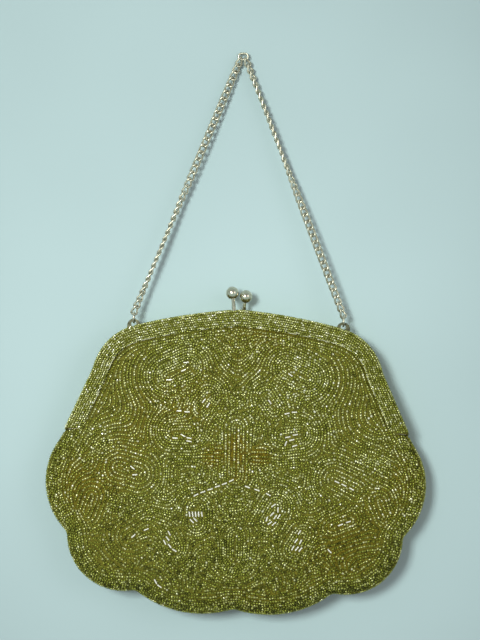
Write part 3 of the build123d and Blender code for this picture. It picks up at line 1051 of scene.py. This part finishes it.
def cloth_panel(name, line):
    """The front panel's cloth: a gridded sheet cut to its edge, domed, stuffed and smoothed."""
    grid = bpy.context.scene.bag_cloth.grid
    # The panel is sewn at the piping below the hinges and tucked into the frame above them.
    rim_line = inset(line, 1.2 * MM + 6.2 * MM * tucked(line[:, 1]))
    low, high = rim_line.min(0), rim_line.max(0)
    size = high - low + 2 * grid
    obj = upright_grid(name, (low + high) / 2, size, [round(s / grid) for s in size])
    flat = corners(obj)[:, ::2]
    keep = inside(flat, rim_line) & (nearest(flat, rim_line) > 0.42 * grid)
    with editing(obj, "DESELECT"):
        bpy.ops.mesh.select_mode(type="VERT")
    for v, k in zip(obj.data.vertices, keep):
        v.select = not bool(k)
    # The rim is drawn out to the sewn edge as one more row of squares.
    with editing(obj, None):
        bpy.ops.mesh.delete(type="VERT")
        bpy.ops.mesh.select_all(action="SELECT")
        bpy.ops.mesh.region_to_loop()
        bpy.ops.mesh.extrude_edges_move()
    rim = [v.index for v in obj.data.vertices if v.select]
    for k in rim:
        v = obj.data.vertices[k]
        gaps = np.hypot(rim_line[:, 0] - v.co.x, rim_line[:, 1] - v.co.z)
        v.co.x, v.co.z = rim_line[int(gaps.argmin())]
    flat = corners(obj)[:, ::2]
    depth = panel_depth(flat[:, 0], flat[:, 1], nearest(flat, line))
    depth -= 0.45 * MM * tucked(flat[:, 1]) * (1 - rise(nearest(flat, rim_line), 0, 3))
    for v, y in zip(obj.data.vertices, depth):
        v.co.y = -y
    with editing(obj):
        bpy.ops.mesh.normals_make_consistent(inside=False)
    faced(obj, 1)
    stuffed(obj, rim)
    modified(obj, "SUBSURF", levels=1, render_levels=1)
    smoothed(obj.data)
    return obj


def bend_with(obj, side):
    """Puts a soft piece's place, turn and size into its mesh, alike for the front (1) and the back
    (-1).
    """
    if side > 0:
        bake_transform(obj)
    else:
        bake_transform(obj)


def glass_tubes(tree):
    """Places of the long glass tubes on a panel, and the ground they take from the seed beads."""
    radius = bpy.context.scene.bag_beads.tube_radius
    tubes, cleared = [], Crowd(3 * MM)
    for x, z, angle in TUBES:
        right, up = math.cos(math.radians(angle)), math.sin(math.radians(angle))
        found = on_surface(tree, x * MM, TOP + z * MM)
        ahead = on_surface(tree, (x + right) * MM, TOP + (z + up) * MM)
        if found is None or ahead is None:
            raise RuntimeError("a glass tube lies off the panel")
        centre = found[0] + found[1] * 0.95 * radius
        tubes.append((centre, unit(ahead[0] - found[0]), found[1], 1.0))
        for s in (-1.2, -0.4, 0.4, 1.2):
            cleared.add((x + s * right) * MM, TOP + (z + s * up) * MM)
    return tubes, cleared


def seed_beads(field, tree, cleared, rng, picks):
    """Places of a panel's seed beads: rows, then single beads in the bare spots between them."""
    b = bpy.context.scene.bag_beads
    places = []
    for row in sewn_rows(field, picks):
        places += beads_along(row, tree, field, b.bead_pitch, rng)
    kept, sewn = [], Crowd(2 * MM)
    for centre, way, up, scale in places:
        if not cleared.crowded(centre[0], centre[2], 1.25 * MM):
            sewn.add(centre[0], centre[2])
            kept.append((centre + up * 0.72 * b.bead_radius, way, up, scale))
    step = 0.8  # millimetres between the spots that are tried
    for i in range(int(field.nx / step)):
        for j in range(int(field.nz / step)):
            x = field.low[0] + (i + (j % 2) / 2) * step * MM
            z = field.low[1] + j * step * MM
            if field.read(field.room, x, z) <= 0.2 * MM:
                continue
            apart = (1.5 - 0.25 * max(0.0, field.read(field.loose, x, z))) * MM
            if sewn.crowded(x, z, apart) or cleared.crowded(x, z, 1.3 * MM):
                continue
            found = on_surface(tree, x, z)
            if found is None:
                continue
            w = field.way(x, z, (1, 0))
            way = np.array([w[0], 0, w[1]])
            sewn.add(x, z)
            way = unit(way - found[1] * way.dot(found[1]))
            kept.append((found[0] + found[1] * 0.7 * b.bead_radius, way, found[1], 0.97))
    return kept


def bead_lift_and_painted_shade(field, x, z):
    """How much paler beads are: paler on the motifs, and darker low down and on the turned edge as
    painted shade.
    """
    near = field.read(field.motif, x, z)
    drift = math.sin(x * 95 + 1.7) * math.cos(z * 80 - 0.6)
    lift = 0.05 * math.exp(-((near / (7 * MM)) ** 2)) + 0.04 * drift
    # Painted shade: darker low down.
    lift -= 0.15 * float(rise(HINGE - z, 18, 60))
    # Painted shade: darker on the edge where the panel turns away.
    turned = 1 - float(rise(field.read(field.edge, x, z), 1, 7))
    return lift - 0.14 * turned * float(rise(HINGE - z, 0, 8))


class BAG_OT_panels(bpy.types.Operator):
    """Padded panels of ground cloth, with rows of seed beads and fans of glass tubes"""

    bl_idname = "bag.panels"
    bl_label = "Beaded panels"

    def execute(self, context):
        b, c = context.scene.bag_beads, context.scene.bag_cloth
        made = finishes()
        rng, picks = np.random.default_rng(b.seed), random.Random(b.seed)
        line = edge_line()
        front = cloth_panel("front_panel_cloth", line)
        tree = surface_tree(front)
        field = RowField(line)
        tubes, cleared = glass_tubes(tree)
        beads = []
        for place in seed_beads(field, tree, cleared, rng, picks):
            x, z = place[0][0], place[0][2]
            third = "left" if x < -MIDDLE else "right" if x > MIDDLE else "middle"
            warmth = 0.3 * field.read(field.warm, x, z)
            beads.append((third, place, bead_tone(picks, bead_lift_and_painted_shade(field, x, z)), warmth))
        thickened(front, c.wall)
        warm = [max(0.0, field.read(field.warm, v.co.x, v.co.z)) for v in front.data.vertices]
        point_values(front.data, "warm", warm)
        shape, pieces = seed_bead(), []
        for part in ("left", "middle", "right"):
            chosen = zip(*(bead[1:] for bead in beads if bead[0] == part))
            pieces.append(strewn("front_beads_" + part, shape, made["Bag olive glass"], *chosen))
        shape = little_shape("tube", 6, b.tube_length, b.tube_radius, 0.86, False, False)
        tones = [picks.uniform(0.3, 1) for _ in tubes]
        pieces.append(strewn("front_glass_tubes", shape, made["Bag tube glass"], tubes, tones))
        pieces.append(use_material(front, made["Bag ground cloth"]))
        for piece in pieces:
            twin = mirrored(piece, piece.name.replace("front", "back"))
            if piece is front:
                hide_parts("back_panel_upper", "back_panel_lower")
            bend_with(twin, -1)
        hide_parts("front_panel_upper", "front_panel_lower")
        for piece in pieces:
            bend_with(piece, 1)
        return {"FINISHED"}


# --- the beaded bands over the frame ---
def frame_run(line, above):
    """A closed line's part over a height, open, from left to right, and its inward ways."""
    ways = inward(line)
    # The lowest point of the left half comes first: the right half is counted as far higher.
    start = int(np.argmin(line[:, 1] + 10 * (line[:, 0] > 0)))
    line, ways = np.roll(line, -start, axis=0), np.roll(ways, -start, axis=0)
    keep = line[:, 1] > above
    return line[keep], ways[keep]


def sewn_way(run, along, s, ahead, rng):
    """A bead's way along its thread, a little uneven."""
    (x, z), (x2, z2) = along_at(run, along, s), along_at(run, along, s + ahead)
    return unit(unit(np.array([x2 - x, 0, z2 - z])) + rng.normal(0, 0.08, 3))


def band_cloth(name, side, parting, line):
    """One half's band of ground cloth: a lipped strip round the rim, cut aslant at the hinges."""
    c = bpy.context.scene.bag_cloth
    face, wall, width = c.band_face, c.band_wall, c.band_width
    path, ways = frame_run(line, HINGE - 1.5 * MM)
    profile = [
        (wall, parting), (0.3 * MM, parting), (0, parting + 0.6 * MM), (0, face - 1.7 * MM),
        (0.25 * MM, face - 0.8 * MM), (0.85 * MM, face - 0.22 * MM), (1.8 * MM, face),
        (width - 1.2 * MM, face), (width - 0.35 * MM, face - 0.25 * MM),
        (width, face - 0.7 * MM), (width - 0.1 * MM, face - wall), (wall + 0.3 * MM, face - wall),
        (wall, face - wall - 0.3 * MM),
    ]
    band = swept(name + "_band_cloth", path[::3], ways[::3], profile)
    with editing(band):
        bpy.ops.mesh.bisect(
            plane_co=(0, 0, HINGE + 0.3 * MM), plane_no=(0, END_SLOPE, 1),
            use_fill=True, clear_inner=True,
        )
    if side < 0:
        band.data.transform(Matrix.Scale(-1, 4, (0, 1, 0)))
    return outwards(band)


def band_rows(parting):
    """A band's bead rows, round the rim first: (distance in, depth, (out of rim, out of face))."""
    b, c = bpy.context.scene.bag_beads, bpy.context.scene.bag_cloth
    rows, y, d = [], parting + 1.0 * MM, 1.5 * MM
    while y < c.band_face - 1.2 * MM:
        rows.append((0.0, y, (-1.0, 0.0)))
        y += b.band_pitch
    rows.append((0.42 * MM, c.band_face - 0.45 * MM, (-0.7, 0.7)))
    while d < c.band_width - 0.4 * MM:
        rows.append((d, c.band_face, (0.0, 1.0)))
        d += b.band_pitch
    return rows


def band_beads(side, parting, line, rng, picks):
    """Places and tones of one band's beads."""
    b = bpy.context.scene.bag_beads
    pitch, reach = b.bead_pitch * b.band_scale, b.bead_radius * b.band_scale * 0.62
    ring_low, ring_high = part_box("right_end_ring")
    ring_x, ring_half = (ring_low.x + ring_high.x) / 2, (ring_high.x - ring_low.x) / 2 + 0.6 * MM
    places, tones = [], []
    for d, y, (away, out) in band_rows(parting):
        run, into = frame_run(inset(line, d) if d > 0 else line, HINGE + 0.3 * MM + END_SLOPE * y)
        along = run_length(run)
        for k in range(int(along[-1] / pitch)):
            s = (k + 0.5) * pitch + rng.uniform(-0.06, 0.06) * pitch
            (x, z), (ix, iz) = along_at(run, along, s), along_at(into, along, s)
            at_post = abs(y - 3.4 * MM) < 2.4 * MM and abs(x + side * 2.6 * MM) < 2.9 * MM
            if d == 0 and at_post:
                continue
            up = unit(np.array([ix * away, -side * out, iz * away]))
            way = sewn_way(run, along, s, 0.3 * MM, rng)
            # Beads under the chain's rings are sewn down flat, clear of the rings' swing.
            under_ring = d < 1 * MM and abs(abs(x) - ring_x) < ring_half
            centre = np.array([x, -side * y, z]) + up * (reach - 0.5 * MM * under_ring)
            centre += np.array([ix, 0, iz]) * rng.normal(0, 0.11 * MM) * out
            places.append((centre, way, up, b.band_scale * rng.uniform(0.93, 1.06)))
            # Painted shade: the band's beads are darker down its right side.
            tones.append(bead_tone(picks, 0.08 - 0.15 * float(rise(centre[0], 45, 45))))
    return places, tones


def seam_stitches(side, line, rng, picks):
    """Places and tones of the long pale stitches in the seam between band and panel."""
    c = bpy.context.scene.bag_cloth
    run, _ = frame_run(inset(line, c.band_width + 0.25 * MM), HINGE + 3 * MM)
    along = run_length(run)
    places, tones, s = [], [], 3 * MM
    while s < along[-1] - 3 * MM:
        (x, z), (x2, z2) = along_at(run, along, s), along_at(run, along, s + 0.4 * MM)
        way = unit(np.array([x2 - x, rng.uniform(-0.05, 0.05) * MM, z2 - z]))
        spot = np.array([x, -side * (c.band_face + 0.25 * MM), z])
        if picks.random() < (0.75 if x > 40 * MM else 0.35):
            places.append((spot, way, np.array([0.0, -side, 0.0]), rng.uniform(0.75, 1.15)))
            tones.append(picks.random())
        s += rng.uniform(3.6, 5.2) * MM
    return places, tones


class BAG_OT_bands(bpy.types.Operator):
    """Beaded bands of cloth over the two halves of the frame, with the seam's pale stitches"""

    bl_idname = "bag.bands"
    bl_label = "Beaded frame bands"

    def execute(self, context):
        b, c = context.scene.bag_beads, context.scene.bag_cloth
        made = finishes()
        line = edge_line()
        bead, stitch = seed_bead(), little_shape("stitch", 6, 4.2 * MM, 0.4 * MM, 0.55, False, True)
        for name, side, parting in (("front", 1, c.front_parting), ("back", -1, c.back_parting)):
            rng, picks = np.random.default_rng(b.seed + side), random.Random(b.seed + side)
            band = band_cloth(name, side, parting, line)
            use_material(band, made["Bag ground cloth"])
            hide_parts(name + "_frame_cover")
            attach(band, name + "_frame")
            places, tones = band_beads(side, parting, line, rng, picks)
            beads = strewn(name + "_band_beads", bead, made["Bag olive glass"], places, tones)
            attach(beads, name + "_frame")
            places, tones = seam_stitches(side, line, rng, picks)
            seam = strewn(name + "_seam_stitches", stitch, made["Bag sewing thread"], places, tones)
            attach(seam, name + "_frame")
        return {"FINISHED"}


# --- piping, lining and pocket ---
class BAG_OT_piping(bpy.types.Operator):
    """Piping along the pouch's scalloped edge, with its row of small beads"""

    bl_idname = "bag.piping"
    bl_label = "Edge piping"

    def execute(self, context):
        b = context.scene.bag_beads
        made = finishes()
        rng, picks = np.random.default_rng(b.seed + 5), random.Random(b.seed + 5)
        core = inset(edge_line(), 1.0 * MM)
        keep = core[:, 1] < HINGE + 1.5 * MM
        start = int(np.argmax(np.roll(~keep, 1) & keep))
        core, ways, keep = (np.roll(v, -start, axis=0) for v in (core, inward(core), keep))
        core, ways = core[keep][::2], ways[keep][::2]
        turns = np.linspace(0, 2 * math.pi, 12, endpoint=False)
        ring = [(0.95 * MM * math.cos(a), 1.15 * MM * math.sin(a)) for a in turns]
        cord = swept("edge_piping_cord", core, ways, ring)
        use_material(cord, made["Bag ground cloth"])
        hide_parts("edge_piping")
        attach(cord, "pouch")
        places, tones = [], []
        along, pitch = run_length(core), b.bead_pitch * 0.8
        for lean in (-50, 0, 50):
            a = math.radians(lean)
            for k in range(int(along[-1] / pitch)):
                s = (k + 0.5) * pitch
                (x, z), (ix, iz) = along_at(core, along, s), along_at(ways, along, s)
                if z > HINGE - 0.6 * MM:
                    continue
                up = unit(np.array([-ix * math.cos(a), math.sin(a), -iz * math.cos(a)]))
                way = sewn_way(core, along, s, 0.4 * MM, rng)
                centre = np.array([x, 0, z]) + up * 1.15 * MM
                places.append((centre, way, up, 0.78 * rng.uniform(0.92, 1.06)))
                # Painted shade: the edge beads are a little darker than the panels' beads.
                tones.append(bead_tone(picks, -0.1))
        beads = strewn("edge_beads", seed_bead(), made["Bag olive glass"], places, tones)
        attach(beads, "pouch")
        return {"FINISHED"}


class BAG_OT_lining(bpy.types.Operator):
    """Satin lining behind each panel, and the slip pocket"""

    bl_idname = "bag.lining"
    bl_label = "Lining and pocket"

    def execute(self, context):
        satin = finishes()["Bag lining satin"]
        for name, side in (("front", 1), ("back", -1)):
            lining = lining_sheet(name + "_lining_satin", side)
            use_material(lining, satin)
            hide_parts(name + "_lining_upper", name + "_lining_lower")
            low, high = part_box(name + "_lining_lower")
            bend_with(lining, side)
        low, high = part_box("slip_pocket")
        pocket = use_material(pocket_cloth(low, high), satin)
        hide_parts("slip_pocket")
        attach(pocket, "pouch")
        return {"FINISHED"}


def lining_sheet(name, side):
    """A satin dish behind a panel, gathered a little at the frame."""
    line, rings = edge_line(), 26
    rim = inset(line, 8.9 * MM, 1.2 * MM)
    middle, n = np.array([0.0, TOP - 88 * MM]), len(rim)
    flat = np.array(
        [middle + (point - middle) * (1 - k / rings) for k in range(rings) for point in rim]
    )
    depth = panel_depth(flat[:, 0], flat[:, 1], nearest(flat, line) - 1.3 * MM) - 3.4 * MM
    mouth = rise(flat[:, 1] - HINGE, -10, 30)
    fold = 0.35 * MM * np.sin(flat[:, 0] * 900) * mouth
    depth = np.maximum(depth + fold - 0.35 * MM, 0.9 * MM)
    points = [(x, -side * y, z) for (x, z), y in zip(flat, depth)]
    points.append((middle[0], -side * float(depth[-n:].mean()), middle[1]))
    faces = []
    for k in range(0, (rings - 1) * n, n):
        faces += [(k + q, k + (q + 1) % n, k + n + (q + 1) % n, k + n + q) for q in range(n)]
    last = (rings - 1) * n
    faces += [(last + q, last + (q + 1) % n, len(points) - 1) for q in range(n)]
    obj = faced(mesh_object(name, points, faces), side)
    return thickened(obj, bpy.context.scene.bag_cloth.lining_wall)


def pocket_cloth(low, high):
    """The slip pocket on the back lining: a satin patch with rounded corners."""
    middle, half, corner = ((low + high) / 2).xz, ((high - low) / 2).xz, 8 * MM
    size = (high - low).xz - Vector((1 * MM, 1 * MM))
    obj = upright_grid("slip_pocket_satin", middle, size, (40, 26))
    for v in obj.data.vertices:
        off = [v.co.x - middle.x, v.co.z - middle.y]
        over = [abs(a) - (h - corner) for a, h in zip(off, half)]
        if min(over) > 0 and math.hypot(*over) > corner:
            k = corner / math.hypot(*over)
            rounded = (math.copysign(h - corner + o * k, a) for h, o, a in zip(half, over, off))
            v.co.x, v.co.z = (m + r for m, r in zip(middle, rounded))
        v.co.y = dome_depth(v.co.x, v.co.z) - 3.05 * MM
    thickened(faced(obj, 1), 0.4 * MM)
    smoothed(obj.data)
    return obj


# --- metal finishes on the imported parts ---
class BAG_OT_metal(bpy.types.Operator):
    """Gilt finishes for the chain, its rings and lugs, the frame, rivets and kiss lock"""

    bl_idname = "bag.metal"
    bl_label = "Metal finishes"

    def execute(self, context):
        made = finishes()
        looks = {
            "Bag chain gilt": "chain_left chain_right apex_link left_end_ring right_end_ring",
            "Bag bright gilt": "front_lock_ball back_lock_ball",
            "Bag frame gilt":
                "front_frame_channel back_frame_channel left_hinge_rivet right_hinge_rivet",
            "Bag old gilt": "left_chain_lug right_chain_lug",
        }
        for look, names in looks.items():
            for name in names.split():
                obj = bpy.data.objects[name]
                for slot in obj.material_slots:
                    slot.material = made[look]
                if not obj.material_slots:
                    obj.data.materials.append(made[look])
        # The back frame's turned edge, which the front frame closes on.
        c = context.scene.bag_cloth
        path, ways = frame_run(inset(edge_line(), 0.9 * MM), HINGE + 12 * MM)
        low, high, deep = 0.15 * MM - c.back_parting, c.front_parting - 0.15 * MM, 3 * MM
        rounded = [(0.2 * MM, low), (0, low + 0.3 * MM), (0, high - 0.3 * MM), (0.2 * MM, high)]
        edge = swept("back_frame_edge", path[::3], ways[::3], rounded + [(deep, high), (deep, low)])
        use_material(edge, made["Bag frame gilt"])
        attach(edge, "back_frame")
        return {"FINISHED"}


# --- studio ---
def backdrop(name, tint, painted_shade_tint, painted_light_spot, one_sided):
    """A surface that the camera sees, which lets all other light through. Where its two tints
    differ, its colour is painted light: paler round a spot, darker away from it.
    """
    n = Finish(name)
    n.tree.nodes.remove(n.shader)
    where = n.coords()
    # Painted light and shade: the paint is paler round the spot and darker away from it, unevenly.
    away = n.add(
        "ShaderNodeVectorMath", "Value", operation="DISTANCE", in_0=where, in_1=painted_light_spot
    )
    slow_shade = n.noise(where, 5.0, 2.0, 0.5)
    far = n.math("ADD", n.math("MULTIPLY", away, 2.6), n.math("MULTIPLY", slow_shade, 0.5))
    paint = n.add("ShaderNodeBsdfDiffuse", 0, in_Color=n.ramp(far, [(0.2, tint), (1.05, painted_shade_tint)]))
    path = n.add("ShaderNodeLightPath").outputs
    bounced = n.math("MAXIMUM", path["Is Glossy Ray"], path["Is Transmission Ray"])
    if one_sided:
        # The surface shows only from its front and nearly straight on, and never hides the bag.
        place = n.add("ShaderNodeNewGeometry").outputs
        turn = n.add(
            "ShaderNodeVectorMath", "Value", operation="DOT_PRODUCT",
            in_0=place["True Normal"], in_1=place["Incoming"],
        )
        gone, full = (math.cos(math.radians(angle)) for angle in (30, 23))
        faces = n.add(
            "ShaderNodeMapRange", "Result", in_Value=turn, in_From_Min=gone, in_From_Max=full
        )
        straight = n.math("MULTIPLY", path["Is Camera Ray"], faces)
        front = n.math("SUBTRACT", 1.0, place["Backfacing"])
        seen = n.math("MULTIPLY", front, n.math("MAXIMUM", straight, bounced))
    else:
        # The floor is as pale as the air round it, and still takes a soft shadow.
        seen = n.math("MAXIMUM", path["Is Camera Ray"], bounced)
        glow = n.add("ShaderNodeEmission", 0, in_Color=tint)
        paint = n.add("ShaderNodeMixShader", 0, in_0=0.8, in_1=paint, in_2=glow)
    clear = n.add("ShaderNodeBsdfTransparent", 0)
    shown = n.add("ShaderNodeMixShader", 0, in_0=seen, in_1=clear, in_2=paint)
    n.put(n.tree.nodes["Material Output"].inputs["Surface"], shown)
    return n.material


def stage_plane(name, paint, **place):
    """A big flat surface of the studio."""
    deselect()
    bpy.ops.mesh.primitive_plane_add(**place)
    obj = settled(name)
    obj.data.materials.append(paint)
    return obj


def studio_air(wall):
    """Soft light from all round, and what the camera, metal and glass see past the bag."""
    world = bpy.context.scene.world = bpy.data.worlds.new("Studio air")
    world.use_nodes = True
    n = Nodes(world.node_tree)
    soft = n.tree.nodes["Background"]
    n.put(soft.inputs["Color"], (1.0, 0.93, 0.94))
    n.put(soft.inputs["Strength"], 0.40)
    # Metal and glass mirror pale walls round the bag, and a dimmer room in front of it.
    view = n.add("ShaderNodeSeparateXYZ", "Y", in_0=n.coords("Generated"))
    room = n.ramp(n.math("ADD", view, 1.0), [(0.0, (0.2, 0.2, 0.19)), (0.75, wall)])
    path = n.add("ShaderNodeLightPath").outputs
    pale = n.add("ShaderNodeBackground", 0, in_Color=n.mix(path["Is Camera Ray"], room, wall))
    seen = n.math("MAXIMUM", path["Is Camera Ray"], path["Is Glossy Ray"])
    air = n.add("ShaderNodeMixShader", 0, in_0=seen, in_1=soft.outputs[0], in_2=pale)
    n.put(n.tree.nodes["World Output"].inputs["Surface"], air)


class BAG_OT_stage(bpy.types.Operator):
    """Pale wall and floor, soft lights and the camera"""

    bl_idname = "bag.stage"
    bl_label = "Studio"

    def execute(self, context):
        scene = context.scene
        tint = tuple(scene.bag_colours.wall)
        # The wall is painted paler round this spot, a painted pool of light.
        painted_light_spot = (-20 * MM, 15 * MM, TOP - 55 * MM)
        paint = backdrop("Studio wall paint", tint, dim(tint, 0.66), painted_light_spot, True)
        lean, behind = math.atan(0.0564), (0, 3.5 * MM, 0)
        upright = (math.pi / 2 + lean, 0, 0)
        wall = stage_plane("studio_wall", paint, size=3.2, location=behind, rotation=upright)
        # The wall goes with the bag, so that it stays behind it as the bag swings on its chain.
        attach(wall, "back_frame")
        paint = backdrop("Studio floor paint", tint, tint, (0, 0, 0), False)
        floor = stage_plane("studio_floor", paint, size=60, location=(0, 0, CAD_LOW.z - 60 * MM))
        studio_air(tint)
        # The lights: (name, place, size, power, tint).
        lights = (
            ("key", (-0.42, -1.22, 0.05), 0.3, 15.5, (0.97, 1.0, 0.96)),
            ("fill", (0.95, -1.1, 0.1), 0.8, 3.0, (1.0, 0.94, 0.95)),
            ("rim", (0.55, 1.3, 0.35), 0.8, 12.0, (1.0, 1.0, 1.0)),
        )
        aim = Vector((0, 0, TOP - 60 * MM))
        for name, place, size, power, light in lights:
            lamp = bpy.data.lights.new("studio_" + name, "AREA")
            lamp.shape = "SQUARE"
            lamp.size, lamp.energy, lamp.color = size, power, light
            obj = linked("studio_" + name, lamp)
            obj.location = place
            obj.rotation_euler = (aim - Vector(place)).to_track_quat("-Z", "Y").to_euler()
        # The view is 276 mm wide and 368 mm tall at the bag, rolled a little.
        distance, tall, roll, film = 0.85, 0.368, math.radians(1.0), 36
        lens = bpy.data.cameras.new("studio_camera")
        lens.lens = film * distance / tall
        camera = linked("studio_camera", lens)
        place = Matrix.Translation((0.75 * MM, -distance - 4 * MM, TOP - 5.2 * MM))
        level = Matrix.Rotation(math.pi / 2, 4, "X")
        camera.matrix_world = place @ Matrix.Rotation(-roll, 4, "Y") @ level
        scene.camera = camera
        scene.view_settings.view_transform = "Standard"
        return {"FINISHED"}


class BAG_PT_panel(bpy.types.Panel):
    """The bag's pieces and sizes"""

    bl_idname = "BAG_PT_panel"
    bl_label = "Beaded evening bag"
    bl_space_type = "VIEW_3D"
    bl_region_type = "UI"
    bl_category = "Bag"

    def draw(self, context):
        for name in GROUPS:
            group, box = getattr(context.scene, name), self.layout.box()
            for key in group.__annotations__:
                box.prop(group, key)
        for operator in OPERATORS:
            self.layout.operator(operator.bl_idname)


GROUPS = {
    "bag_outline": BAG_PG_outline,
    "bag_cloth": BAG_PG_cloth,
    "bag_beads": BAG_PG_beads,
    "bag_colours": BAG_PG_colours,
}
OPERATORS = (BAG_OT_panels, BAG_OT_bands, BAG_OT_piping, BAG_OT_lining, BAG_OT_metal, BAG_OT_stage)
KINDS = (*GROUPS.values(), *OPERATORS, BAG_PT_panel)


def register():
    for kind in KINDS:
        bpy.utils.register_class(kind)
    for name, kind in GROUPS.items():
        setattr(bpy.types.Scene, name, bpy.props.PointerProperty(type=kind))


def unregister():
    for name in GROUPS:
        delattr(bpy.types.Scene, name)
    for kind in reversed(KINDS):
        bpy.utils.unregister_class(kind)


def main():
    """Makes the whole bag."""
    register()
    for operator in OPERATORS:
        group, name = operator.bl_idname.split(".")
        getattr(getattr(bpy.ops, group), name)()


if __name__ == "__main__":
    main()
